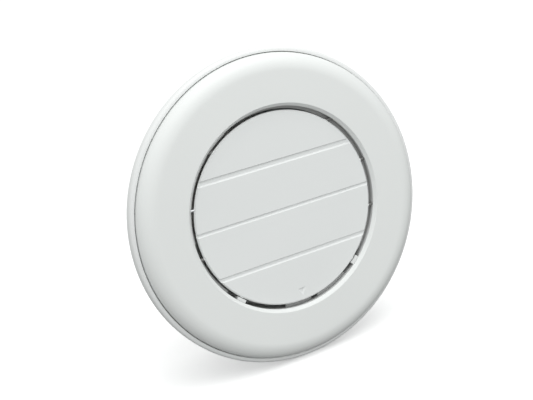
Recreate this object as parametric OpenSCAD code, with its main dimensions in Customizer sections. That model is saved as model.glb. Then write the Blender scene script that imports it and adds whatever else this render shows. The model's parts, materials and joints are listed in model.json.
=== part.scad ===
// Room-side unit of a through-wall heat recovery ventilator with a four-blade louvre shutter.
// Row frame: +Z up, -Y towards the room, +Y into the wall, origin on the duct axis at the wall plane.
// Every module is drawn lying down, x right, y up, z = height above the wall, and turned by on_wall().

/* [Wall plate] */
// Outer radius of the wall plate's rim
plate_r = 129.6; // [128.5:0.1:133]
// Radius of the rounding along the rim's front edge
plate_round = 3; // [1:0.5:3.5]
// Height of the seam between the rim and the front ring
seam_h = 7; // [6:0.5:8]
// Thickness of the wall plate
plate_t = 2; // [1.6:0.1:2.2]
// Outer radius of the spigot that enters the wall sleeve
spigot_r = 86; // [85.8:0.1:86.4]
// Depth of the spigot behind the wall plane
spigot_len = 22; // [14:1:28]
// Horizontal and vertical spacing of the wall screw holes
screw_spacing = [108, 188]; // [90:1:190]
// Radius of a wall screw hole
screw_hole_r = 2.4; // [2:0.1:3]

/* [Front ring] */
// Outer radius of the front ring at the seam
cover_r = 125; // [124:0.1:125.2]
// Height of the ring's flat face above the wall
face_h = 17; // [16:0.5:20]
// Radius where the flat face ends and the rounding begins
flat_r = 111; // [106:0.5:114]
// Radius of the opening at the front of its chamfer
opening_r = 85; // [84.6:0.1:86]
// Radius of the opening at the back of its chamfer
lip_r = 82.9; // [82.6:0.1:83.1]
// Wall thickness of the front ring
cover_t = 2; // [1.6:0.1:2.2]

/* [Louvre] */
// Radius of the disc that the closed blades make
blade_r = 79.5; // [78.8:0.1:79.8]
// Height of the closed blades' front face
blade_h = 13.4; // [13.2:0.1:13.5]
// Thickness of a blade
blade_t = 2.4; // [2.2:0.1:2.8]
// Distance from one blade's pivot to the next
blade_pitch = 40; // [39:0.5:40.5]
// Height of the top blade's pivot above the duct axis
top_pivot = 60.4; // [60:0.1:60.8]
// Distance from a pivot down to its blade's lower edge
edge_drop = 19.7; // [19.4:0.1:20]
// Visible width of the grooves below blades 1, 2 and 3
groove_w = [3.2, 1.5, 2.4]; // [1.3:0.1:3.6]
// Height of the blade pivots above the wall
pivot_h = 11.6; // [11.5:0.1:11.8]
// Radius of a blade's pivot pin
pin_r = 1.25; // [1:0.05:1.3]

/* [Cartridge] */
// Outer radius of the cartridge tube
tube_r = 83.7; // [83:0.1:83.8]
// Depth of the cartridge's rear end behind the wall plane
tube_end = 82; // [82:0.5:84]
// Radius of the fan blades' tips
fan_r = 75; // [70:0.5:75.5]
// Number of fan blades
fan_blades = 7; // [5:1:9]
// Pitch of the square channels in the ceramic core
core_pitch = 9; // [8:0.5:14]
// Thickness of the walls between the channels
core_wall = 2; // [1.4:0.1:3]

/* [Hidden] */
$fn = 96;

// Gap that is left between parts that sit loosely in each other
gap = 0.3;
// Radial clearance of a pin that turns in its bore
fit = 0.05;
// Small overlap that makes a joined shape one solid
bite = 0.2;
// Steps along a rounded profile
arc_steps = 20;

white = "#e9ebea";
shell_white = "#e4e7e6";
dark = "#3a3d40";
steel = "#b9bcbe";

// Wall plate
rim_inner_r = cover_r + 0.6;
spigot_t = 2;
spigot_inner_r = spigot_r - spigot_t;
flange_r = 88;
flange_t = 1;
gasket_r = [116, 122];
gasket_t = 1.2;
grommet_at = [-72, -78];
grommet_hole_r = 6.5;
board_at = [0, -103];
board_size = [76, 20, 1.6];
board_h = 5;
board_post_r = 2.6;
board_hole = [34, 7];
catch_r = 112;
catch_angles = [30, 150, 210, 330];
catch_post_r = 2.4;
catch_top_h = 6;
board_screw_r = 1.1;

// Front ring and louvre frame
cover_skirt_h = 2.6;
chamfer_h = 14.2;
lip_end_h = 13.8;
drum_r = 83.2;
drum_t = 2.2;
drum_h = [2.4, 13.5];
lug_r = 94;
lug_angles = [45, 135, 225, 315];
lug_h = [5.8, 7.8];
lug_disc_r = 4.6;
frame_screw_r = 1.45;
pin_in = 1.8;
pin_boss_r = 1.75;
boss_gap = 1.2;
pad_r = 80.2;
pad_h = [7.4, 14.2];
pad_half = 2.7;
rib_r = 80.6;
rib_t = 1.4;
rib_arcs = [[-41, 118, 6.6], [118, 184.5, 8.8], [194, 220, 7.6], [260, 277, 6.4], [281, 302, 7.6]];

// Louvre blades and tie bar
back_h = blade_h - blade_t;
lap_h = back_h + blade_t / 2;
lap_gap = 0.15;
lap_len = 4.2;
tongue_len = 1.7;
top_bevel = 1.1;
edge_bevel = 0.6;
rim_bevel = 1.1;
back_taper = 0.9;
tongue_cut = 2.6;
arrow_depth = 0.8;
far = 100;
ear_at = [9.9, 14.5];
ear_x = [2, 4.2];
ear_r = 2.4;
eye_r = 2.6;
link_pin_r = 1.2;
bar_x = [-1.3, 1.6];
bar_half = 1;
drive_x = [-60, -92];

// Actuator, in the hollow on the left of the opening
actuator_x = [-109.5, -88.5];
actuator_y = [11, 35];
actuator_h = [3.2, 14];
actuator_wall = 1.4;
lid_t = 1.6;
lead_ring_r = 104.5;
lead_h = 13;
lead_r = 0.9;
lead_angles = [174, 294.8];
socket_at = [43.6, -93];

// Cartridge
tube_t = 2;
tube_in = tube_r - tube_t;
insert_r = tube_in - gap;
tube_front = 9;
filter_h = [-16.5, -10];
filter_r = 76.5;
fan_h = [-45, -18];
housing_r = 76.5;
hub_r = 26;
strut_count = 5;
strut_angle = 286;
impeller_h = [-43, -25];
impeller_hub_r = 27.5;
core_h = [-78.5, -47];
core_r = 79;
guard_h = [-82, -79];
shaft_r = 2;

function pivot_y(k) = top_pivot - k * blade_pitch;
function low_edge(k) = pivot_y(k) - edge_drop;
function plate_top(k) = low_edge(k - 1) - groove_w[k - 1];
function half_chord(r, y) = sqrt(r * r - y * y);
function pin_end(k) = half_chord(blade_r, pivot_y(k));

// Turns a lying-down part so that its height points into the room
module on_wall() {
    rotate([90, 0, 0]) children();
}

// Flat ring between two radii and two heights
module ring(r_in, r_out, h_low, h_high) {
    translate([0, 0, h_low]) difference() {
        cylinder(h = h_high - h_low, r = r_out);
        translate([0, 0, -1]) cylinder(h = h_high - h_low + 2, r = r_in);
    }
}

// Round post between two heights
module post(at, r, h_low, h_high) {
    translate([at[0], at[1], h_low]) cylinder(h = h_high - h_low, r = r);
}

// Box between two corners
module block(low, high) {
    translate(low) cube(high - low);
}

// Round bar along x between two places
module x_rod(r, x_low, x_high, y, h) {
    translate([x_low, y, h]) rotate([0, 90, 0]) cylinder(h = x_high - x_low, r = r);
}

// Extrudes an outline of [y, height] points along x
module along_x(x_low, x_high) {
    translate([x_low, 0, 0]) rotate([90, 0, 90]) linear_extrude(x_high - x_low) children();
}

// Screw with a round head below its shank, pointing up
module screw_up(at, h_head, h_seat, h_tip, head_r, r) {
    difference() {
        post(at, head_r, h_head, h_seat);
        translate([at[0] - head_r, at[1] - 0.3, h_head - 1]) cube([2 * head_r, 0.6, 1.7]);
    }
    post(at, r, h_seat - bite, h_tip);
}

// Screw with a round head above its shank, pointing down
module screw_down(at, h_tip, h_seat, h_head, head_r, r) {
    difference() {
        post(at, head_r, h_seat, h_head);
        translate([at[0] - head_r, at[1] - 0.3, h_head - 0.7]) cube([2 * head_r, 0.6, 1.7]);
    }
    post(at, r, h_tip, h_seat + bite);
}

// Points on a circle, one for each angle
function around(r, angles) = [for (a = angles) r * [cos(a), sin(a)]];

// ---------- wall plate ----------

module wall_plate() {
    color(white) on_wall() difference() {
        union() {
            rotate_extrude() polygon(concat(
                [[spigot_inner_r, plate_t], [spigot_inner_r, flange_t], [flange_r, flange_t],
                 [flange_r, 0], [gasket_r[0], 0], [gasket_r[0], gasket_t],
                 [gasket_r[1], gasket_t], [gasket_r[1], 0]],
                [[plate_r, 0]],
                [for (i = [0:arc_steps]) let (a = 90 * i / arc_steps)
                    [plate_r - plate_round + plate_round * cos(a),
                     seam_h - plate_round + plate_round * sin(a)]],
                [[rim_inner_r + 0.4, seam_h], [rim_inner_r, seam_h - 0.4],
                 [rim_inner_r, plate_t]]));
            for (sx = [-1, 1], sy = [-1, 1])
                post([board_at[0] + sx * board_hole[0], board_at[1] + sy * board_hole[1]],
                     board_post_r, plate_t - bite, board_h);
            for (p = around(catch_r, catch_angles))
                translate([p[0], p[1], 0]) ring(4.1, 5.4, plate_t - bite, 4.4);
            for (sx = [-1, 1], sy = [-1, 1])
                post([sx, sy] * 0.5 * [[screw_spacing[0], 0], [0, screw_spacing[1]]],
                     screw_hole_r + 2.6, plate_t - bite, plate_t + 1);
            translate([grommet_at[0], grommet_at[1], 0]) ring(grommet_hole_r, 8.4, 0, 3);
        }
        for (sx = [-1, 1], sy = [-1, 1])
            post([sx * screw_spacing[0] / 2, sy * screw_spacing[1] / 2], screw_hole_r, -1, 5);
        for (sx = [-1, 1], sy = [-1, 1])
            post([board_at[0] + sx * board_hole[0], board_at[1] + sy * board_hole[1]],
                 board_screw_r, 1, board_h + 1);
        post(grommet_at, grommet_hole_r, -1, 5);
    }
}

// Ring behind the wall plate that centres it in the wall sleeve
module spigot_ring() {
    color(white) on_wall() rotate_extrude() polygon([
        [spigot_inner_r, flange_t], [spigot_inner_r, -spigot_len], [spigot_r - 0.8, -spigot_len],
        [spigot_r, -spigot_len + 1.5], [spigot_r, 0], [flange_r, 0], [flange_r, flange_t]]);
}

module wall_gasket() {
    color("#55585a") on_wall() ring(gasket_r[0], gasket_r[1], 0, gasket_t);
}

module cable_grommet() {
    color("#202224") on_wall() translate([grommet_at[0], grommet_at[1], 0])
        rotate_extrude() polygon([
            [4, 0], [grommet_hole_r, 0], [grommet_hole_r, 3], [8, 3],
            [8, 4.2], [7, 4.8], [4.6, 4.8], [4, 4.2]]);
}

// Slit sprung collars that grip the front ring's posts
module catch_springs() {
    color(steel) on_wall() for (a = catch_angles)
        rotate([0, 0, a]) translate([catch_r, 0, 0]) difference() {
            union() {
                ring(catch_post_r + gap, 3.4, plate_t, catch_top_h);
                ring(catch_post_r + gap, 4.1, plate_t, plate_t + 0.5);
            }
            translate([0, -0.5, plate_t - 1]) cube([8, 1, 8]);
        }
}

// ---------- electronics on the wall plate ----------

module control_board() {
    color("#2f6b46") on_wall() translate([board_at[0], board_at[1], board_h]) difference() {
        translate([-board_size[0] / 2, -board_size[1] / 2, 0]) cube(board_size);
        for (sx = [-1, 1], sy = [-1, 1])
            post([sx * board_hole[0], sy * board_hole[1]], board_screw_r + 0.3, -1, 4);
    }
}

module board_components() {
    top = board_h + board_size[2];
    color("#26292b") on_wall() translate([board_at[0], board_at[1], top]) {
        block([-14, -6, 0], [-2, 5, 4]);
        block([2, -5, 0], [11, 4, 1.4]);
        translate([18, 4, 1.9]) rotate([90, 0, 0]) cylinder(h = 9, r = 1.9);
        block([21, 5.2, 0], [29, 9.6, 4.4]);
    }
}

module board_screws() {
    top = board_h + board_size[2];
    color(steel) on_wall() for (sx = [-1, 1], sy = [-1, 1])
        screw_down([board_at[0] + sx * board_hole[0], board_at[1] + sy * board_hole[1]],
                   2.2, top, top + 1.2, 2, board_screw_r - fit);
}

module terminal_block() {
    top = board_h + board_size[2];
    color("#7d8487") on_wall() translate([board_at[0] - 29, board_at[1] - 4, top]) difference() {
        cube([14, 9, 5]);
        for (i = [0:2]) {
            post([2.6 + 4.4 * i, 5.4], 1.5, 2, 7);
            block([1.3 + 4.4 * i, -1, 1], [3.9 + 4.4 * i, 3, 3.6]);
        }
    }
}

module terminal_screws() {
    h_seat = board_h + board_size[2] + 2.4;
    color("#d8c27a") on_wall() for (i = [0:2])
        screw_down([board_at[0] - 26.4 + 4.4 * i, board_at[1] + 1.4],
                   h_seat, h_seat + 0.4, h_seat + 2, 1.5 - fit, 1);
}

module contact_plug() {
    color(dark) on_wall() translate([socket_at[0], socket_at[1], plate_t]) {
        block([-5, -3, 0], [5, 3, 4]);
        for (i = [-1:1]) post([3 * i, 0], 0.6, 4 - bite, 9);
    }
}

// Tube of the given radius along a list of points, with n sides
function ring_frame(p, i) =
    let (d = p[min(i + 1, len(p) - 1)] - p[max(i - 1, 0)], t = d / norm(d),
         u = cross(t, [0.31, 0.17, 0.94]), v = u / norm(u))
    [v, cross(t, v)];

module swept_tube(p, r, n = 8) {
    points = [for (i = [0:len(p) - 1]) let (f = ring_frame(p, i)) for (j = [0:n - 1])
        p[i] + r * (cos(360 * j / n) * f[0] + sin(360 * j / n) * f[1])];
    sides = [for (i = [0:len(p) - 2], j = [0:n - 1])
        [(i + 1) * n + j, (i + 1) * n + (j + 1) % n, i * n + (j + 1) % n, i * n + j]];
    first = [for (j = [0:n - 1]) j];
    last = [for (j = [n - 1:-1:0]) (len(p) - 1) * n + j];
    polyhedron(points, concat(sides, [first], [last]));
}

lead_route = [[25, -93.1, 9], [25, -91, 9], [25, -88.5, 8], [25, -86.5, 6], [24.5, -84, 4.6],
              [23.5, -81.5, 4], [22.8, -79, 3], [22.4, -78, 1], [22.3, -77.9, -4], [22.3, -77.9, -10],
              [22.2, -77.8, -15], [21.8, -76, -17.2], [20.5, -71.5, -17.7], [17, -59.3, -17.7],
              [12, -41.9, -17.7], [8.6, -30, -17.7], [7.2, -25, -17.7]];

module fan_lead() {
    color("#1d1f21") on_wall() swept_tube(lead_route, 0.8);
}

// ---------- cartridge in the wall sleeve ----------

module cartridge_tube() {
    color("#d9dcdb") on_wall() difference() {
        union() {
            ring(tube_in, tube_r, -tube_end, -tube_front);
            for (a = [20:90:290]) rotate([0, 0, a])
                block([core_r + 0.4, -4, core_h[1] + 0.4], [tube_in + bite, 4, core_h[1] + 1.6]);
        }
        for (a = [60, 180, 300]) rotate([0, 0, a])
            translate([tube_in - 2, -5, -tube_front - 3]) cube([6, 10, 5]);
    }
}

module tube_seals() {
    color("#2a2c2e") on_wall() for (h = [-38, -70]) translate([0, 0, h]) rotate_extrude()
        polygon([[tube_r, 0], [tube_r + 0.8, 0], [spigot_r + 0.1, 2.4], [spigot_r - 0.3, 2.8],
                 [tube_r + 0.9, 1.2], [tube_r + 0.9, 3], [tube_r, 3]]);
}

module filter_frame() {
    color("#c9cdcc") on_wall() difference() {
        union() {
            ring(filter_r, insert_r, filter_h[0], filter_h[1]);
            ring(filter_r - 2, filter_r + bite, filter_h[0], filter_h[0] + 1);
            for (a = [0, 90]) rotate([0, 0, a])
                translate([-filter_r - 1, -1, filter_h[1] - 1.4]) cube([2 * filter_r + 2, 2, 1.2]);
            ring(8, 11, filter_h[1] - 1.4, filter_h[1] - 0.2);
        }
        rotate([0, 0, strut_angle]) translate([filter_r + 0.6, -2.5, filter_h[0] - 1])
            cube([9, 5, 9]);
    }
}

module filter_media() {
    color("#8d9396") on_wall()
        post([0, 0], filter_r - gap, filter_h[0] + 1.1, filter_h[1] - 1.6);
}

module fan_housing() {
    color(dark) on_wall() difference() {
        union() {
            rotate_extrude() polygon(concat(
                [[insert_r, fan_h[1]], [insert_r, fan_h[0]], [housing_r, fan_h[0]],
                 [housing_r, fan_h[1] - 4]],
                [for (i = [1:6]) let (a = 90 * i / 6)
                    [housing_r + 4 - 4 * cos(a), fan_h[1] - 4 + 4 * sin(a)]]));
            for (i = [0:strut_count - 1]) rotate([0, 0, strut_angle + 360 * i / strut_count])
                translate([hub_r - 1, -2.5, fan_h[1] - 5]) cube([housing_r - hub_r + 4, 5, 4]);
            post([0, 0], hub_r, fan_h[1] - 5.5, fan_h[1] - 0.5);
            ring(3.9, 6, fan_h[1] - 21, fan_h[1] - 4);
        }
        post([0, 0], 3.9, fan_h[1] - 25, fan_h[1] - 2);
        for (a = [45:90:315]) rotate([0, 0, a]) post([79.2, 0], 0.9, fan_h[0] - 1, fan_h[0] + 8);
    }
}

module motor_board() {
    color("#2f6b46") on_wall() ring(6.4, 22, fan_h[1] - 7.2, fan_h[1] - 5.8);
}

// Stacked steel of the fan motor's stator, with its poles
module stator_core() {
    color("#9a9fa3") on_wall() {
        ring(6.05, 9, fan_h[1] - 18, fan_h[1] - 10);
        for (a = [0:40:320]) rotate([0, 0, a]) {
            translate([8.8, -1, fan_h[1] - 18]) cube([9.6, 2, 8]);
            translate([17.4, -4.6, fan_h[1] - 18]) cube([2, 9.2, 8]);
        }
    }
}

module stator_coils() {
    color("#b06a35") on_wall() for (a = [0:40:320]) rotate([0, 0, a]) difference() {
        translate([11, -2.4, fan_h[1] - 19.4]) cube([6, 4.8, 10.8]);
        translate([10, -1.02, fan_h[1] - 18.02]) cube([8, 2.04, 8.04]);
    }
}

module front_bearing() {
    color(steel) on_wall() ring(shaft_r + fit, 3.85, fan_h[1] - 8, fan_h[1] - 4.5);
}

module rear_bearing() {
    color(steel) on_wall() ring(shaft_r + fit, 3.85, fan_h[1] - 20.5, fan_h[1] - 17);
}

// Ceramic block with square channels that run along the duct
module ceramic_core() {
    hole = core_pitch - core_wall;
    reach = floor(core_r / core_pitch);
    color("#cdbb9c") on_wall() translate([0, 0, core_h[0]]) linear_extrude(core_h[1] - core_h[0])
        difference() {
            circle(r = core_r);
            for (i = [-reach:reach], j = [-reach:reach])
                if (norm([abs(i) + 0.5, abs(j) + 0.5]) * core_pitch < core_r - core_wall)
                    translate([i, j] * core_pitch) square(hole, center = true);
        }
}

module core_wrap() {
    color("#6f7477") on_wall() ring(core_r, insert_r, core_h[0], core_h[1]);
}

module rear_guard() {
    color(dark) on_wall() difference() {
        union() {
            ring(74, insert_r, guard_h[0], guard_h[1]);
            for (r = [14:12:62]) ring(r, r + 1.6, guard_h[0] + 0.8, guard_h[1] - 0.4);
            for (a = [0:60:120]) rotate([0, 0, a])
                translate([-75, -1.2, guard_h[0] + 0.6]) cube([150, 2.4, 1.8]);
        }
        for (a = [45:90:315]) rotate([0, 0, a])
            post([77.6, 0], 1.3, guard_h[0] - 1, guard_h[1] + 1);
    }
}

module guard_screws() {
    color(steel) on_wall() for (a = [45:90:315]) rotate([0, 0, a])
        screw_up([77.6, 0], guard_h[0] - 1.6, guard_h[0], guard_h[1], 2.3, 1.25);
}

// ---------- front ring, its louvre frame and the shutter's actuator ----------

module front_cover() {
    color(shell_white) on_wall() difference() {
        union() {
            rotate_extrude() polygon(concat(
                [[cover_r, cover_skirt_h]],
                [for (i = [0:arc_steps]) let (a = 90 * i / arc_steps)
                    [flat_r + (cover_r - flat_r) * cos(a), seam_h + (face_h - seam_h) * sin(a)]],
                [[opening_r + 0.4, face_h], [opening_r, face_h - 0.3],
                 [lip_r, chamfer_h], [lip_r, lip_end_h], [lip_r + cover_t, lip_end_h],
                 [opening_r + cover_t, face_h - cover_t]],
                [for (i = [arc_steps:-1:0]) let (a = 90 * i / arc_steps)
                    [flat_r + (cover_r - flat_r - cover_t) * cos(a),
                     seam_h + (face_h - seam_h - cover_t) * sin(a)]],
                [[cover_r - cover_t, cover_skirt_h]]));
            for (p = around(lug_r, lug_angles)) post(p, 3.8, lug_h[1], face_h - cover_t + bite);
            for (p = around(catch_r, catch_angles))
                post(p, catch_post_r, plate_t + 0.8, face_h - cover_t);
        }
        for (p = around(lug_r, lug_angles)) post(p, frame_screw_r + fit, 0, face_h - cover_t);
    }
}

// Pad of the louvre frame that fills the gap round a bottom blade's pivot
module pivot_pad(side) {
    angle = atan2(pivot_y(3), side * pin_end(3));
    rotate([0, 0, angle - pad_half]) rotate_extrude(angle = 2 * pad_half) polygon([
        [pad_r, pad_h[0]], [drum_r + bite, pad_h[0]], [drum_r + bite, drum_h[1]],
        [lip_r - gap, drum_h[1]], [lip_r - gap, pad_h[1]], [pad_r, pad_h[1]]]);
}

// Ring that carries the blades' pivots behind the front ring
module louvre_frame() {
    color(white) on_wall() difference() {
        union() {
            ring(drum_r, drum_r + drum_t, drum_h[0], drum_h[1]);
            for (arc = rib_arcs) rotate([0, 0, arc[0]]) rotate_extrude(angle = arc[1] - arc[0])
                translate([rib_r, arc[2]]) square([drum_r + bite - rib_r, rib_t]);
            for (side = [-1, 1]) pivot_pad(side);
            for (a = lug_angles) rotate([0, 0, a]) {
                post([lug_r, 0], lug_disc_r, lug_h[0], lug_h[1]);
                block([drum_r + 1, -lug_disc_r, lug_h[0]], [lug_r, lug_disc_r, lug_h[1]]);
            }
        }
        for (k = [0:3], side = [-1, 1]) mirror([side < 0 ? 1 : 0, 0, 0])
            x_rod(pin_r + fit, pin_end(k) - 1, half_chord(drum_r + drum_t + 0.6, pivot_y(k)),
                  pivot_y(k), pivot_h);
        x_rod(pin_r + fit, -90, -pin_end(1), pivot_y(1), pivot_h);
        for (p = around(lug_r, lug_angles)) post(p, frame_screw_r + fit, 0, 12);
        rotate([0, 0, strut_angle]) translate([drum_r - 2, -2.5, 0]) cube([8, 5, 6.4]);
    }
}

module frame_screws() {
    color(steel) on_wall() for (p = around(lug_r, lug_angles))
        screw_up(p, lug_h[0] - 2, lug_h[0], lug_h[1] + 5.5, 2.8, frame_screw_r);
}

module actuator_case() {
    x = actuator_x;
    y = actuator_y;
    h = actuator_h;
    w = actuator_wall;
    color("#2d3033") on_wall() difference() {
        block([x[0], y[0], h[0] + lid_t], [x[1], y[1], h[1]]);
        block([x[0] + w, y[0] + w, h[0]], [x[1] - w, y[1] - w, h[1] - w]);
        x_rod(pin_r + 0.4, x[1] - 4, x[1] + 2, pivot_y(1), pivot_h);
    }
}

module actuator_lid() {
    color("#3b3f42") on_wall() difference() {
        block([actuator_x[0], actuator_y[0], actuator_h[0]],
              [actuator_x[1], actuator_y[1], actuator_h[0] + lid_t]);
        for (p = [[actuator_x[0] + 3, actuator_y[0] + 3], [actuator_x[1] - 3, actuator_y[1] - 3]])
            post(p, 1.1, 0, 8);
    }
}

module actuator_screws() {
    color(steel) on_wall()
        for (p = [[actuator_x[0] + 3, actuator_y[0] + 3], [actuator_x[1] - 3, actuator_y[1] - 3]])
            screw_up(p, actuator_h[0] - 0.8, actuator_h[0], actuator_h[0] + lid_t + 2, 1.8, 1);
}

module contact_socket() {
    color(dark) on_wall() translate([socket_at[0], socket_at[1], 0]) difference() {
        block([-5, -3, 8], [5, 3, face_h - cover_t]);
        for (i = [-1:1]) post([3 * i, 0], 0.6 + gap, 7, 13);
    }
}

// Lead that runs inside the front ring from the contact socket to the actuator
module actuator_lead() {
    color("#1d1f21") on_wall() translate([0, 0, lead_h]) rotate([0, 0, lead_angles[0]])
        rotate_extrude(angle = lead_angles[1] - lead_angles[0])
            translate([lead_ring_r, 0]) circle(r = lead_r);
}

// ---------- louvre blades and their drive ----------

// Cross-section of blade k, as [y, height] points
module blade_section(k) {
    low = k == 3 ? -far : low_edge(k);
    top = k == 0 ? far : plate_top(k);
    lower_edge = k == 3 ? [[low, back_h], [low, blade_h]] :
        [[low + lap_len, back_h], [low + lap_len, lap_h + lap_gap], [low, lap_h + lap_gap],
         [low, blade_h - edge_bevel], [low + edge_bevel, blade_h]];
    upper_edge = k == 0 ? [[top, blade_h], [top, back_h]] :
        [[top - top_bevel, blade_h], [top, lap_h], [low_edge(k - 1) + tongue_len, lap_h],
         [low_edge(k - 1) + tongue_len, back_h]];
    polygon(concat(lower_edge, upper_edge));
}

// Cuts the ends of the bottom blade's tongue so that they clear the duct as they swing inwards
module tongue_cuts() {
    x = half_chord(blade_r, low_edge(2)) - tongue_cut;
    for (side = [-1, 1]) mirror([side < 0 ? 1 : 0, 0, 0])
        block([x, low_edge(2), back_h - 1], [x + 12, low_edge(2) + 6, blade_h]);
}

module blade(k) {
    y = pivot_y(k);
    color(shell_white) on_wall() difference() {
        union() {
            difference() {
                intersection() {
                    along_x(-far, far) blade_section(k);
                    rotate_extrude() polygon([
                        [0, back_h], [blade_r - back_taper, back_h], [blade_r, lap_h],
                        [blade_r, blade_h - rim_bevel], [blade_r - rim_bevel, blade_h],
                        [0, blade_h]]);
                }
                if (k == 3) tongue_cuts();
            }
            for (side = [-1, 1]) mirror([side < 0 ? 1 : 0, 0, 0]) {
                if (k != 1 || side > 0)
                    x_rod(pin_r, pin_end(k) - 14, half_chord(drum_r + pin_in, y), y, pivot_h);
                intersection() {
                    x_rod(pin_boss_r, pin_end(k) - 18, pin_end(k) + 2, y, pivot_h);
                    post([0, 0], blade_r - boss_gap, 0, blade_h);
                }
            }
            along_x(ear_x[0], ear_x[1]) polygon([
                [y + 4, back_h + bite], [y + ear_at[1] + ear_r, back_h + bite],
                [y + ear_at[1] + ear_r, pivot_h - ear_at[0]],
                [y + ear_at[1] - ear_r, pivot_h - ear_at[0]]]);
            x_rod(ear_r, ear_x[0], ear_x[1], y + ear_at[1], pivot_h - ear_at[0]);
            x_rod(link_pin_r, bar_x[0] - 0.8, ear_x[1], y + ear_at[1], pivot_h - ear_at[0]);
        }
        if (k == 1) x_rod(pin_r, -far, drive_x[0], y, pivot_h);
        if (k == 3) arrow_mark();
    }
}

// Shallow triangle on the bottom blade that points down
module arrow_mark() {
    translate([0.7, -71, blade_h - arrow_depth]) linear_extrude(2 * arrow_depth, scale = 3)
        polygon(0.5 * [[-3.8, 2.4], [3.8, 2.4], [0, -4.4]]);
}

module blade_1() {
    blade(0);
}

module blade_2() {
    blade(1);
}

module blade_3() {
    blade(2);
}

module blade_4() {
    blade(3);
}

// Shaft from the actuator into the second blade
module drive_shaft() {
    color(steel) on_wall() x_rod(pin_r, drive_x[1], drive_x[0], pivot_y(1), pivot_h);
}

// Link that keeps the four blades parallel
module tie_bar() {
    h = pivot_h - ear_at[0];
    color("#9aa0a3") on_wall() difference() {
        union() {
            block([bar_x[0], pivot_y(3) + ear_at[1], h - bar_half],
                  [bar_x[1], pivot_y(0) + ear_at[1], h + bar_half]);
            for (k = [0:3]) x_rod(eye_r, bar_x[0], bar_x[1], pivot_y(k) + ear_at[1], h);
        }
        for (k = [0:3])
            x_rod(link_pin_r + fit, bar_x[0] - 1, bar_x[1] + 1, pivot_y(k) + ear_at[1], h);
    }
}

// ---------- fan rotor ----------

// One cambered blade, a slice of a tube whose axis is radial
module fan_blade() {
    mid = (impeller_h[0] + impeller_h[1]) / 2;
    intersection() {
        ring(impeller_hub_r - 1, fan_r, impeller_h[0] + 0.5, impeller_h[1] - 0.5);
        translate([0, 12, mid - 22]) rotate([0, 90, 0]) difference() {
            cylinder(h = fan_r + 2, r = 26);
            translate([0, 0, -1]) cylinder(h = fan_r + 4, r = 24.4);
        }
        block([0, -16, impeller_h[0]], [fan_r + 2, 16, impeller_h[1]]);
    }
}

module impeller() {
    color("#54595d") on_wall() difference() {
        union() {
            ring(25, impeller_hub_r, impeller_h[0], impeller_h[1]);
            post([0, 0], impeller_hub_r, impeller_h[0], impeller_h[0] + 2);
            post([0, 0], 5, impeller_h[0], impeller_h[0] + 3.6);
            for (i = [0:fan_blades - 1]) rotate([0, 0, 360 * i / fan_blades]) fan_blade();
        }
        post([0, 0], shaft_r, impeller_h[0] - 1, impeller_h[0] + 5);
    }
}

module rotor_magnet() {
    color("#1f2123") on_wall() ring(20.6, 25, fan_h[1] - 19, fan_h[1] - 9);
}

module fan_shaft() {
    color(steel) on_wall() post([0, 0], shaft_r, impeller_h[0], fan_h[1] - 3);
}

module shaft_clip() {
    color(steel) on_wall() ring(shaft_r, 3.2, fan_h[1] - 4.2, fan_h[1] - 3.6);
}

wall_plate();
spigot_ring();
wall_gasket();
cable_grommet();
catch_springs();
control_board();
board_components();
board_screws();
terminal_block();
terminal_screws();
contact_plug();
fan_lead();
cartridge_tube();
tube_seals();
filter_frame();
filter_media();
fan_housing();
motor_board();
stator_core();
stator_coils();
front_bearing();
rear_bearing();
ceramic_core();
core_wrap();
rear_guard();
guard_screws();
front_cover();
louvre_frame();
frame_screws();
actuator_case();
actuator_lid();
actuator_screws();
contact_socket();
actuator_lead();
blade_1();
blade_2();
blade_3();
blade_4();
drive_shaft();
tie_bar();
impeller();
rotor_magnet();
fan_shaft();
shaft_clip();
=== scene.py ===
"""Looks of the round heat recovery unit: camera, studio, materials and pieces with finer meshes."""

import json
import math

import bmesh
import bpy
from mathutils import Matrix, Vector


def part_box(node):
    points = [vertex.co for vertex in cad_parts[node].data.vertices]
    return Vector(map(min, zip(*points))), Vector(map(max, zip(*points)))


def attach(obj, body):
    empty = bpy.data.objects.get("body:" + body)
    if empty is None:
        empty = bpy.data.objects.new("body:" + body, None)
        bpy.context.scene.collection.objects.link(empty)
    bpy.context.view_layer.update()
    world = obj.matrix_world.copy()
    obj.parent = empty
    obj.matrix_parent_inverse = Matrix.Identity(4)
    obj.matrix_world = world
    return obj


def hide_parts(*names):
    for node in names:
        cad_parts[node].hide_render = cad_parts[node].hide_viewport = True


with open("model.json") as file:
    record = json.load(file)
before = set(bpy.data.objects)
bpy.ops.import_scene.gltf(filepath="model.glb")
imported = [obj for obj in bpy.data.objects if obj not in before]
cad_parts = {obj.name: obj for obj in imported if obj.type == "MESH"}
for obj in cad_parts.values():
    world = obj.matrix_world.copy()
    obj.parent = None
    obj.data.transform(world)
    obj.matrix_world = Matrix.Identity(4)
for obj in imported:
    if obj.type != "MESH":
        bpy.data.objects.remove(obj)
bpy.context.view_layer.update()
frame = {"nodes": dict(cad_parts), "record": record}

# ---------- sizes, in metres ----------

MM = 0.001
TAU = 2 * math.pi
PLATE_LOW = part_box("wall_plate")[0]
COVER_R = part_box("front_cover")[1].x
SEAM_Y = PLATE_LOW.y
FLOOR_Z = PLATE_LOW.z

# The camera looks at the middle of the seam circle.
CAMERA_AZIMUTH = math.radians(-25.3)
CAMERA_ELEVATION = math.radians(14.1)
CAMERA_ROLL = math.radians(-11.2)
CAMERA_DISTANCE = 6.6 * COVER_R
LENS_MM = 68.6
SHIFT = (-0.029, 0.014)

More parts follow.
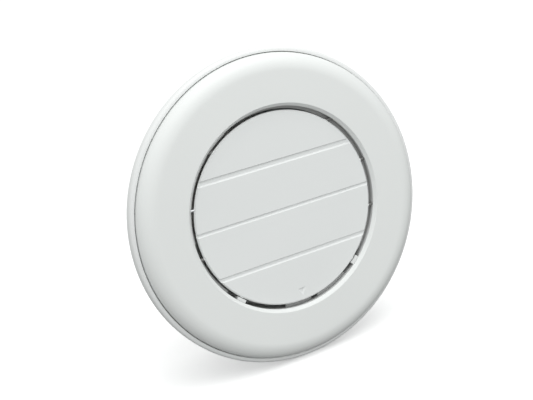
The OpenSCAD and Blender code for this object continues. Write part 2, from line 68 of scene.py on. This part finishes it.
# Direction that the light comes from, how bright the surroundings are, and the softbox.
LIGHT_FROM = Vector((-0.09, -0.6, 0.79)).normalized()
SKY_MIDDLE = 0.505
SKY_SLOPE = 0.72
SKY_BEHIND = 0.55
SKY_TINT = (0.985, 1, 0.995, 1)
SOFTBOX_AT = (0.08, -0.55, 1.0)
SOFTBOX_SIZE = (1.1, 0.9)
SOFTBOX_W = 5

# Floor disc and the round wall that it sweeps up into.
FLOOR_R = 4.0
FLOOR_GLOW = 0.24
FLOOR_GREY = (0.9, 0.9, 0.9)
WALL_GREY = (0.1, 0.1, 0.1)
WALL_GLOW = 1.0
SWEEP_R = 3.0
CROWN_R = 0.1
STAGE_STEPS = 96

# Painted shade on the plastic: dark grey painted on the blades' pins and inside the throat, where
# they lie in shade.
PIN_SHADE = (0.16, 0.16, 0.155)
PIN_SHADE_PAST_EDGE = 0.1 * MM
THROAT_SHADE = (0.47, 0.475, 0.47)
THROAT_SHADE_BEGINS = 2 * MM
THROAT_SHADE_FULL = 4 * MM

# Share of a pattern's 0 to 1 range that carries its whole change of shade or gloss.
PATTERN_LOW, PATTERN_HIGH = 0.3, 0.7

# Solder pads are the middles of cells, out to this distance.
PAD_REACH = 0.16

# Fleece: facets, lumps and how far the surface lies under the CAD solid's.
FLEECE_RINGS, FLEECE_STEPS = 44, 168
LUMP_WAVE = 420
LUMP_DEPTH = 0.5 * MM
FLEECE_INSET = 0.2 * MM

# Honeycomb: square channels inside a solid outer band.
CHANNEL_PITCH = 4.2 * MM
CHANNEL_WALL = 0.9 * MM
BAND_WIDTH = 4 * MM
BAND_OVERLAP = 0.6 * MM
BAND_STEPS = 144

# Foam rings: width of the gasket, rounding of the edges and depth of the dents.
GASKET_WIDTH = 6 * MM
GASKET_ROUNDING, GASKET_DENT = 0.4 * MM, 0.15 * MM
WRAP_ROUNDING, WRAP_DENT = 0.6 * MM, 0.1 * MM
FOAM_STEPS = 288
DENT_WAVES = (23, 7)
DENT_SHIFT = 1.3


# ---------- camera and studio ----------


def make_camera():
    """Camera at the photograph's viewing angle, rolled a little."""
    az, el, roll = CAMERA_AZIMUTH, CAMERA_ELEVATION, CAMERA_ROLL
    back = Vector((math.sin(az) * math.cos(el), -math.cos(az) * math.cos(el), math.sin(el)))
    right = Vector((math.cos(az), math.sin(az), 0))
    up = back.cross(right)
    x_axis = right * math.cos(roll) + up * math.sin(roll)
    y_axis = up * math.cos(roll) - right * math.sin(roll)
    data = bpy.data.cameras.new("camera")
    data.lens = LENS_MM
    data.shift_x, data.shift_y = SHIFT
    data.clip_start = 0.01
    camera = bpy.data.objects.new("camera", data)
    bpy.context.scene.collection.objects.link(camera)
    place = Vector((0, SEAM_Y, 0)) + back * CAMERA_DISTANCE
    turn = Matrix((x_axis, y_axis, back)).transposed().to_4x4()
    camera.matrix_world = Matrix.Translation(place) @ turn
    bpy.context.scene.camera = camera


def make_softbox():
    """One large weak softbox above and in front, which faces the object."""
    data = bpy.data.lights.new("softbox", "AREA")
    data.shape = "RECTANGLE"
    data.size, data.size_y = SOFTBOX_SIZE
    data.energy = SOFTBOX_W
    light = bpy.data.objects.new("softbox", data)
    bpy.context.scene.collection.objects.link(light)
    light.location = SOFTBOX_AT
    light.rotation_mode = "QUATERNION"
    light.rotation_quaternion = (-Vector(SOFTBOX_AT)).to_track_quat("-Z", "Y")


def make_world():
    """Softly graded white surroundings, brightest above and in front, with a weaker glow behind."""
    world = bpy.data.worlds.new("studio")
    bpy.context.scene.world = world
    world.use_nodes = True
    nodes, links = world.node_tree.nodes, world.node_tree.links
    nodes.clear()
    coords = nodes.new("ShaderNodeTexCoord")
    along = nodes.new("ShaderNodeVectorMath")
    along.operation = "DOT_PRODUCT"
    along.inputs[1].default_value = LIGHT_FROM
    level = nodes.new("ShaderNodeMapRange")
    level.inputs["From Min"].default_value = -1
    level.inputs["To Min"].default_value = SKY_MIDDLE - SKY_SLOPE
    level.inputs["To Max"].default_value = SKY_MIDDLE + SKY_SLOPE
    split = nodes.new("ShaderNodeSeparateXYZ")
    lift = nodes.new("ShaderNodeMapRange")
    lift.inputs["To Max"].default_value = SKY_BEHIND
    both = nodes.new("ShaderNodeMath")
    sky = nodes.new("ShaderNodeBackground")
    sky.inputs["Color"].default_value = SKY_TINT
    out = nodes.new("ShaderNodeOutputWorld")
    links.new(coords.outputs["Generated"], along.inputs[0])
    links.new(along.outputs["Value"], level.inputs["Value"])
    links.new(coords.outputs["Generated"], split.inputs[0])
    links.new(split.outputs["Y"], lift.inputs["Value"])
    links.new(level.outputs[0], both.inputs[0])
    links.new(lift.outputs[0], both.inputs[1])
    links.new(both.outputs[0], sky.inputs["Strength"])
    links.new(sky.outputs[0], out.inputs["Surface"])


def stage_piece(name, rings, material):
    """Round stage surface through rings of (radius, height), seen by the camera only."""
    bm = bmesh.new()
    turns = [TAU * i / STAGE_STEPS for i in range(STAGE_STEPS)]
    before = None
    for r, z in rings:
        ring = [bm.verts.new((r * math.cos(a), r * math.sin(a), z)) for a in turns]
        for i in range(STAGE_STEPS):
            k = (i + 1) % STAGE_STEPS
            if before:
                bm.faces.new((before[i], before[k], ring[k], ring[i]))
        if before is None:
            bm.faces.new(ring)
        before = ring
    mesh = bpy.data.meshes.new(name)
    bm.to_mesh(mesh)
    bm.free()
    mesh.materials.append(material)
    piece = bpy.data.objects.new(name, mesh)
    bpy.context.scene.collection.objects.link(piece)
    piece.location.z = FLOOR_Z
    piece.visible_glossy = False
    piece.visible_diffuse = False
    piece.visible_shadow = False


def glowing_white(name, colour, glow):
    """Matt stage material that also gives off some light of its own."""
    material = new_material(name, colour, roughness=0.9, specular=0.0)
    shader = material.node_tree.nodes["Principled BSDF"]
    shader.inputs["Emission Color"].default_value = (1, 1, 1, 1)
    shader.inputs["Emission Strength"].default_value = glow
    return material


def make_floor():
    """Plain white floor that the rim stands on, and a plain white wall swept up all round it."""
    stage_piece("floor", [(FLOOR_R, 0)], glowing_white("floor_white", FLOOR_GREY, FLOOR_GLOW))
    sweep = [math.radians(a) for a in range(0, 91, 10)]
    wall = [(FLOOR_R + SWEEP_R * math.sin(a), SWEEP_R * (1 - math.cos(a)) - MM) for a in sweep]
    stage_piece("backdrop", wall + [(CROWN_R, 3 * SWEEP_R)],
                glowing_white("wall_white", WALL_GREY, WALL_GLOW))


def make_studio():
    """Graded surroundings, softbox and plain tones."""
    make_world()
    make_softbox()
    bpy.context.scene.view_settings.view_transform = "Standard"


# ---------- materials ----------


def new_material(name, colour, roughness=0.5, specular=0.5, metallic=0.0):
    """Principled material with its plain values set on the shader's own sockets."""
    material = bpy.data.materials.new(name)
    material.use_nodes = True
    shader = material.node_tree.nodes["Principled BSDF"]
    shader.inputs["Base Color"].default_value = (*colour, 1)
    shader.inputs["Roughness"].default_value = roughness
    shader.inputs["Specular IOR Level"].default_value = specular
    shader.inputs["Metallic"].default_value = metallic
    return material


def add_noise(material, scale, detail=4.0, stretch=(1, 1, 1)):
    """Noise texture in object space, in metres."""
    nodes, links = material.node_tree.nodes, material.node_tree.links
    coords = nodes.new("ShaderNodeTexCoord")
    mapping = nodes.new("ShaderNodeMapping")
    mapping.inputs["Scale"].default_value = stretch
    noise = nodes.new("ShaderNodeTexNoise")
    noise.inputs["Scale"].default_value = scale
    noise.inputs["Detail"].default_value = detail
    links.new(coords.outputs["Object"], mapping.inputs["Vector"])
    links.new(mapping.outputs["Vector"], noise.inputs["Vector"])
    return noise.outputs["Fac"]


def map_range(material, value, low, high):
    """Turns a 0 to 1 value into one between low and high."""
    node = material.node_tree.nodes.new("ShaderNodeMapRange")
    node.inputs["From Min"].default_value = PATTERN_LOW
    node.inputs["From Max"].default_value = PATTERN_HIGH
    node.inputs["To Min"].default_value = low
    node.inputs["To Max"].default_value = high
    material.node_tree.links.new(value, node.inputs["Value"])
    return node.outputs["Result"]


def vary_colour(material, value, dark, light):
    """Base colour between two close shades."""
    nodes, links = material.node_tree.nodes, material.node_tree.links
    ramp = nodes.new("ShaderNodeValToRGB")
    ramp.color_ramp.elements[0].position = PATTERN_LOW
    ramp.color_ramp.elements[0].color = (*dark, 1)
    ramp.color_ramp.elements[1].position = PATTERN_HIGH
    ramp.color_ramp.elements[1].color = (*light, 1)
    links.new(value, ramp.inputs["Fac"])
    links.new(ramp.outputs["Color"], nodes["Principled BSDF"].inputs["Base Color"])


def vary_roughness(material, value, low, high):
    """Roughness that drifts over the surface."""
    shader = material.node_tree.nodes["Principled BSDF"]
    material.node_tree.links.new(map_range(material, value, low, high), shader.inputs["Roughness"])


def bump(material, value, strength, height):
    """Fine relief, height in metres."""
    nodes, links = material.node_tree.nodes, material.node_tree.links
    node = nodes.new("ShaderNodeBump")
    node.inputs["Strength"].default_value = strength
    node.inputs["Distance"].default_value = height
    links.new(value, node.inputs["Height"])
    links.new(node.outputs["Normal"], nodes["Principled BSDF"].inputs["Normal"])


def moulded_plastic(name, colour, roughness, grain=2600, relief=0.00003):
    """Injection-moulded plastic: fine spark grain, slight drift of gloss and shade."""
    material = new_material(name, colour, roughness, specular=0.45)
    drift = add_noise(material, 9, 3)
    vary_colour(material, drift, [c * 0.985 for c in colour], [min(1, c * 1.01) for c in colour])
    vary_roughness(material, add_noise(material, 40, 5), roughness - 0.04, roughness + 0.04)
    bump(material, add_noise(material, grain, 2), 0.25, relief)
    return material


def add_painted_shade(material, amount, colour):
    """Painted shade: another colour laid over the base colour, where amount is 1."""
    nodes, links = material.node_tree.nodes, material.node_tree.links
    base = nodes["Principled BSDF"].inputs["Base Color"]
    unshaded = base.links[0].from_socket
    shade_mix = nodes.new("ShaderNodeMixRGB")
    shade_mix.inputs["Color2"].default_value = (*colour, 1)
    links.new(amount, shade_mix.inputs["Fac"])
    links.new(unshaded, shade_mix.inputs["Color1"])
    links.new(shade_mix.outputs[0], base)


def paint_shade_inside(material, unshaded_to, full_shade_from):
    """Painted shade on what lies deeper in the throat than the room-side pads, darker by place
    along Y.
    """
    nodes, links = material.node_tree.nodes, material.node_tree.links
    coords = nodes.new("ShaderNodeTexCoord")
    split = nodes.new("ShaderNodeSeparateXYZ")
    depth = nodes.new("ShaderNodeMapRange")
    depth.inputs["From Min"].default_value = unshaded_to
    depth.inputs["From Max"].default_value = full_shade_from
    links.new(coords.outputs["Object"], split.inputs[0])
    links.new(split.outputs["Y"], depth.inputs["Value"])
    add_painted_shade(material, depth.outputs[0], THROAT_SHADE)


def paint_shade_on_pins(material, radius):
    """Painted shade on what stands out past the blades' round edge, the pins in their bearings."""
    nodes, links = material.node_tree.nodes, material.node_tree.links
    coords = nodes.new("ShaderNodeTexCoord")
    flat = nodes.new("ShaderNodeVectorMath")
    flat.operation = "MULTIPLY"
    flat.inputs[1].default_value = (1, 0, 1)
    reach = nodes.new("ShaderNodeVectorMath")
    reach.operation = "LENGTH"
    past = nodes.new("ShaderNodeMath")
    past.operation = "GREATER_THAN"
    past.inputs[1].default_value = radius
    links.new(coords.outputs["Object"], flat.inputs[0])
    links.new(flat.outputs[0], reach.inputs[0])
    links.new(reach.outputs["Value"], past.inputs[0])
    add_painted_shade(material, past.outputs[0], PIN_SHADE)


def cells(material, scale, feature="F1"):
    """Voronoi pattern in object space: cells, granules or, with DISTANCE_TO_EDGE, walls."""
    nodes, links = material.node_tree.nodes, material.node_tree.links
    coords = nodes.new("ShaderNodeTexCoord")
    node = nodes.new("ShaderNodeTexVoronoi")
    node.feature = feature
    node.inputs["Scale"].default_value = scale
    links.new(coords.outputs["Object"], node.inputs["Vector"])
    return node.outputs["Distance"]


def bands(material, scale, direction="Z", distortion=0.0):
    """Parallel ribs in object space, such as windings or laminations."""
    nodes, links = material.node_tree.nodes, material.node_tree.links
    coords = nodes.new("ShaderNodeTexCoord")
    node = nodes.new("ShaderNodeTexWave")
    node.bands_direction = direction
    node.inputs["Scale"].default_value = scale
    node.inputs["Distortion"].default_value = distortion
    links.new(coords.outputs["Object"], node.inputs["Vector"])
    return node.outputs["Fac"]


def steel():
    """Bright zinc-plated steel with fine streaks."""
    material = new_material("steel", (0.6, 0.61, 0.62), 0.32, metallic=1.0)
    streaks = add_noise(material, 300, 4, stretch=(1, 8, 1))
    vary_colour(material, streaks, (0.5, 0.51, 0.52), (0.68, 0.69, 0.7))
    vary_roughness(material, add_noise(material, 90, 5), 0.22, 0.42)
    bump(material, streaks, 0.2, 0.00002)
    return material


def laminated_steel():
    """Stack of punched steel sheets, seen as fine bands along the axis."""
    material = new_material("laminated_steel", (0.35, 0.35, 0.37), 0.45, metallic=1.0)
    sheets = bands(material, 320, "Y")
    vary_colour(material, sheets, (0.2, 0.2, 0.22), (0.45, 0.45, 0.47))
    bump(material, sheets, 0.5, 0.0001)
    return material


def copper_windings():
    """Enamelled copper wire wound in close turns."""
    material = new_material("copper_windings", (0.62, 0.24, 0.1), 0.3, metallic=0.85)
    turns = bands(material, 420, "Y", 1.5)
    vary_colour(material, turns, (0.32, 0.1, 0.04), (0.74, 0.32, 0.14))
    vary_roughness(material, add_noise(material, 160), 0.22, 0.4)
    bump(material, turns, 0.8, 0.00015)
    return material


def brass():
    """Brass of the terminal screws."""
    material = new_material("brass", (0.72, 0.52, 0.2), 0.3, metallic=1.0)
    vary_colour(material, add_noise(material, 400), (0.6, 0.42, 0.16), (0.8, 0.6, 0.26))
    vary_roughness(material, add_noise(material, 150), 0.22, 0.42)
    return material


def sintered_magnet():
    """Dark plastic-bonded ferrite with fine grains."""
    material = new_material("sintered_magnet", (0.035, 0.035, 0.038), 0.5, metallic=0.4)
    vary_colour(material, cells(material, 1600), (0.02, 0.02, 0.022), (0.06, 0.06, 0.065))
    vary_roughness(material, add_noise(material, 120), 0.4, 0.6)
    return material


def rubber():
    """Matt black rubber with bloom and a faint mould texture."""
    material = new_material("rubber", (0.022, 0.022, 0.023), 0.62, specular=0.35)
    vary_colour(material, add_noise(material, 60, 6), (0.016, 0.016, 0.017), (0.034, 0.034, 0.035))
    vary_roughness(material, add_noise(material, 45, 5), 0.52, 0.74)
    bump(material, add_noise(material, 1800, 2), 0.4, 0.00004)
    return material


def cable_sheath():
    """Soft PVC sheath of the thin internal leads."""
    material = new_material("cable_sheath", (0.02, 0.02, 0.022), 0.42)
    vary_colour(material, add_noise(material, 80, 4), (0.014, 0.014, 0.016), (0.03, 0.03, 0.032))
    vary_roughness(material, add_noise(material, 200), 0.34, 0.5)
    return material


def foam():
    """Closed-cell grey foam: small round pores."""
    material = new_material("foam", (0.09, 0.095, 0.1), 0.92, specular=0.2)
    pores = cells(material, 900)
    vary_colour(material, pores, (0.05, 0.052, 0.056), (0.14, 0.145, 0.15))
    bump(material, pores, 0.9, 0.0003)
    return material


def fleece():
    """Off-white needled filter fleece: crossing fibres and soft lumps."""
    material = new_material("fleece", (0.72, 0.72, 0.69), 0.95, specular=0.15)
    fibres = add_noise(material, 700, 8, stretch=(1, 0.3, 5))
    vary_colour(material, fibres, (0.55, 0.55, 0.52), (0.85, 0.85, 0.82))
    bump(material, fibres, 0.9, 0.0004)
    return material


def ceramic():
    """Unglazed cordierite of the heat store, sandy and slightly speckled."""
    material = new_material("ceramic", (0.68, 0.62, 0.52), 0.88, specular=0.25)
    vary_colour(material, add_noise(material, 260, 8), (0.52, 0.47, 0.38), (0.76, 0.71, 0.61))
    vary_roughness(material, add_noise(material, 90), 0.8, 0.95)
    bump(material, add_noise(material, 1500, 4), 0.6, 0.0001)
    return material


def circuit_board():
    """Green solder mask with darker laminate between wandering traces and tinned pads."""
    material = new_material("circuit_board", (0.01, 0.16, 0.06), 0.35)
    nodes, links = material.node_tree.nodes, material.node_tree.links
    traces = cells(material, 260, "DISTANCE_TO_EDGE")
    trace_shade = map_range(material, traces, PATTERN_LOW, PATTERN_HIGH)
    vary_colour(material, trace_shade, (0.006, 0.09, 0.035), (0.02, 0.22, 0.08))
    pads = nodes.new("ShaderNodeMath")
    pads.operation = "LESS_THAN"
    pads.inputs[1].default_value = PAD_REACH
    links.new(cells(material, 330), pads.inputs[0])
    links.new(pads.outputs[0], nodes["Principled BSDF"].inputs["Metallic"])
    bump(material, traces, 0.4, 0.0001)
    return material


def chip_plastic():
    """Black epoxy of the electronic parts."""
    material = new_material("chip_plastic", (0.02, 0.02, 0.02), 0.45)
    vary_colour(material, add_noise(material, 500, 3), (0.014, 0.014, 0.014), (0.04, 0.04, 0.04))
    vary_roughness(material, add_noise(material, 220), 0.36, 0.55)
    bump(material, add_noise(material, 3000), 0.3, 0.00003)
    return material


# ---------- pieces with finer meshes ----------


def finish_piece(bm, name, material, replaced, smooth=True):
    """Turns a bmesh into a piece of the wall unit that stands for a CAD node."""
    bmesh.ops.recalc_face_normals(bm, faces=bm.faces)
    mesh = bpy.data.meshes.new(name)
    bm.to_mesh(mesh)
    bm.free()
    for face in mesh.polygons:
        face.use_smooth = smooth
    mesh.materials.append(material)
    piece = bpy.data.objects.new(name, mesh)
    bpy.context.scene.collection.objects.link(piece)
    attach(piece, "wall_unit")
    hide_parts(replaced)


def lathe(profile, steps):
    """bmesh of a closed profile of (radius, y) points turned about the Y axis."""
    bm = bmesh.new()
    rings = []
    for i in range(steps):
        a = TAU * i / steps
        rings.append([bm.verts.new((r * math.cos(a), y, r * math.sin(a))) for r, y in profile])
    for i, ring in enumerate(rings):
        after = rings[(i + 1) % steps]
        for j in range(len(profile)):
            k = (j + 1) % len(profile)
            bm.faces.new((ring[j], ring[k], after[k], after[j]))
    return bm


def rounded_band(r_in, r_out, y_low, y_high, radius, inner_steps=4):
    """Profile of a soft ring of rectangular section with rounded corners."""
    corners = [(r_in, y_low, 180), (r_out, y_low, 270), (r_out, y_high, 0), (r_in, y_high, 90)]
    points = []
    for r, y, start in corners:
        centre_r = r + radius if r == r_in else r - radius
        centre_y = y + radius if y == y_low else y - radius
        for i in range(inner_steps + 1):
            a = math.radians(start + 90 * i / inner_steps)
            points.append((centre_r + radius * math.cos(a), centre_y + radius * math.sin(a)))
    return points


def foam_ring(name, node, r_in, material, rounding, dent_depth):
    """Foam ring in place of a CAD ring, with a slightly uneven surface kept inside it."""
    low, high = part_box(node)
    r_out = high.x
    bm = lathe(rounded_band(r_in, r_out, low.y, high.y, rounding), FOAM_STEPS)
    middle = Vector((0, (low.y + high.y) / 2, 0))
    for vert in bm.verts:
        a = math.atan2(vert.co.z, vert.co.x)
        wave = math.sin(DENT_WAVES[0] * a) * math.sin(DENT_WAVES[1] * a + DENT_SHIFT)
        dent = dent_depth * (0.5 + 0.5 * wave)
        spine = Vector((vert.co.x, 0, vert.co.z)).normalized() * (r_in + r_out) / 2 + middle
        vert.co += (spine - vert.co).normalized() * dent
    finish_piece(bm, name, material, node)


def make_gasket(material):
    """Foam gasket in the groove behind the wall plate's rim."""
    r_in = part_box("wall_gasket")[1].x - GASKET_WIDTH
    foam_ring("foam_gasket", "wall_gasket", r_in, material, GASKET_ROUNDING, GASKET_DENT)


def make_wrap(material):
    """Foam wrap between the heat store and the tube."""
    r_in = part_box("ceramic_core")[1].x
    foam_ring("foam_wrap", "core_wrap", r_in, material, WRAP_ROUNDING, WRAP_DENT)


def make_fleece(material):
    """Filter disc with a quilted, slightly lumpy surface."""
    low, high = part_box("filter_media")
    radius = high.x
    bm = bmesh.new()
    for side in (-1, 1):
        y_face = high.y if side > 0 else low.y
        centre = bm.verts.new((0, y_face, 0))
        before = None
        for i in range(1, FLEECE_RINGS + 1):
            r = radius * i / FLEECE_RINGS
            ring = []
            for j in range(FLEECE_STEPS):
                a = TAU * j / FLEECE_STEPS
                x, z = r * math.cos(a), r * math.sin(a)
                lump = 0.5 + 0.5 * math.sin(x * LUMP_WAVE) * math.sin(z * LUMP_WAVE)
                sink = LUMP_DEPTH * lump * (1 if i < FLEECE_RINGS else 0) + FLEECE_INSET
                ring.append(bm.verts.new((x, y_face - side * sink, z)))
            for j in range(FLEECE_STEPS):
                k = (j + 1) % FLEECE_STEPS
                if before is None:
                    bm.faces.new((centre, ring[j], ring[k]))
                else:
                    bm.faces.new((before[j], ring[j], ring[k], before[k]))
            before = ring
        if side < 0:
            front_edge = before
    for j in range(FLEECE_STEPS):
        k = (j + 1) % FLEECE_STEPS
        bm.faces.new((front_edge[j], front_edge[k], before[k], before[j]))
    finish_piece(bm, "fleece_disc", material, "filter_media")


def make_honeycomb(material):
    """Heat store with the fine square channels of the real ceramic block."""
    low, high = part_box("ceramic_core")
    radius, pitch = high.x, CHANNEL_PITCH
    bm = lathe([(radius - BAND_WIDTH, low.y), (radius, low.y), (radius, high.y),
                (radius - BAND_WIDTH, high.y)], BAND_STEPS)
    count = int(radius / pitch) + 1
    half, inner = pitch / 2, (pitch - CHANNEL_WALL) / 2
    corners = [(-1, -1), (1, -1), (1, 1), (-1, 1)]
    for i in range(-count, count + 1):
        for j in range(-count, count + 1):
            cx, cz = i * pitch, j * pitch
            if math.hypot(abs(cx) + half, abs(cz) + half) > radius - BAND_OVERLAP:
                continue
            ends = []
            for y in (low.y, high.y):
                outer = [bm.verts.new((cx + sx * half, y, cz + sz * half)) for sx, sz in corners]
                hole = [bm.verts.new((cx + sx * inner, y, cz + sz * inner)) for sx, sz in corners]
                for k in range(4):
                    n = (k + 1) % 4
                    bm.faces.new((outer[k], outer[n], hole[n], hole[k]))
                ends.append(hole)
            for k in range(4):
                n = (k + 1) % 4
                bm.faces.new((ends[0][k], ends[0][n], ends[1][n], ends[1][k]))
    finish_piece(bm, "ceramic_honeycomb", material, "ceramic_core", smooth=False)


# ---------- finishes of the CAD nodes ----------


def paint_nodes():
    """Gives every CAD node the material of its slot in the record."""
    blade_white = moulded_plastic("blade_white", (0.755, 0.77, 0.765), 0.44)
    frame_white = moulded_plastic("frame_white", (0.74, 0.75, 0.745), 0.5)
    # Painted shade: the frame's throat is painted a darker grey deeper in, where it lies in shade.
    face_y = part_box("louvre_frame")[0].y
    paint_shade_inside(frame_white, face_y + THROAT_SHADE_BEGINS, face_y + THROAT_SHADE_FULL)
    # Painted shade: the blades' pins past the round edge are painted dark grey, as if they lay in
    # the shaded gap.
    paint_shade_on_pins(blade_white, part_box("blade_1")[1].z + PIN_SHADE_PAST_EDGE)
    by_slot = {
        "ring_white": moulded_plastic("shell_white", (0.76, 0.775, 0.765), 0.42),
        "plate_white": moulded_plastic("rim_white", (0.765, 0.775, 0.77), 0.4),
        "blade_white": blade_white,
        "frame_white": frame_white,
        "tube_grey": moulded_plastic("tube_grey", (0.5, 0.51, 0.51), 0.48),
        "dark_plastic": moulded_plastic("dark_plastic", (0.036, 0.038, 0.041), 0.5),
        "black_rubber": rubber(),
        "grey_foam": foam(),
        "filter_fleece": fleece(),
        "ceramic": ceramic(),
        "steel": steel(),
        "magnet": sintered_magnet(),
        "copper_wire": copper_windings(),
        "circuit_board": circuit_board(),
        "black_component": chip_plastic(),
        "terminal_grey": moulded_plastic("terminal_grey", (0.3, 0.31, 0.31), 0.5),
        "brass_screw": brass(),
        "lead_black": cable_sheath(),
    }
    for part in frame["record"]["subparts"]:
        mesh = frame["nodes"][part["node"]].data
        mesh.materials.clear()
        mesh.materials.append(by_slot[part["material_slot"]])
    core = frame["nodes"]["stator_core"].data
    core.materials.clear()
    core.materials.append(laminated_steel())
    return by_slot


# ---------- the scene ----------

make_camera()
make_studio()
make_floor()
finishes = paint_nodes()
make_fleece(finishes["filter_fleece"])
make_honeycomb(finishes["ceramic"])
make_gasket(finishes["grey_foam"])
make_wrap(finishes["grey_foam"])
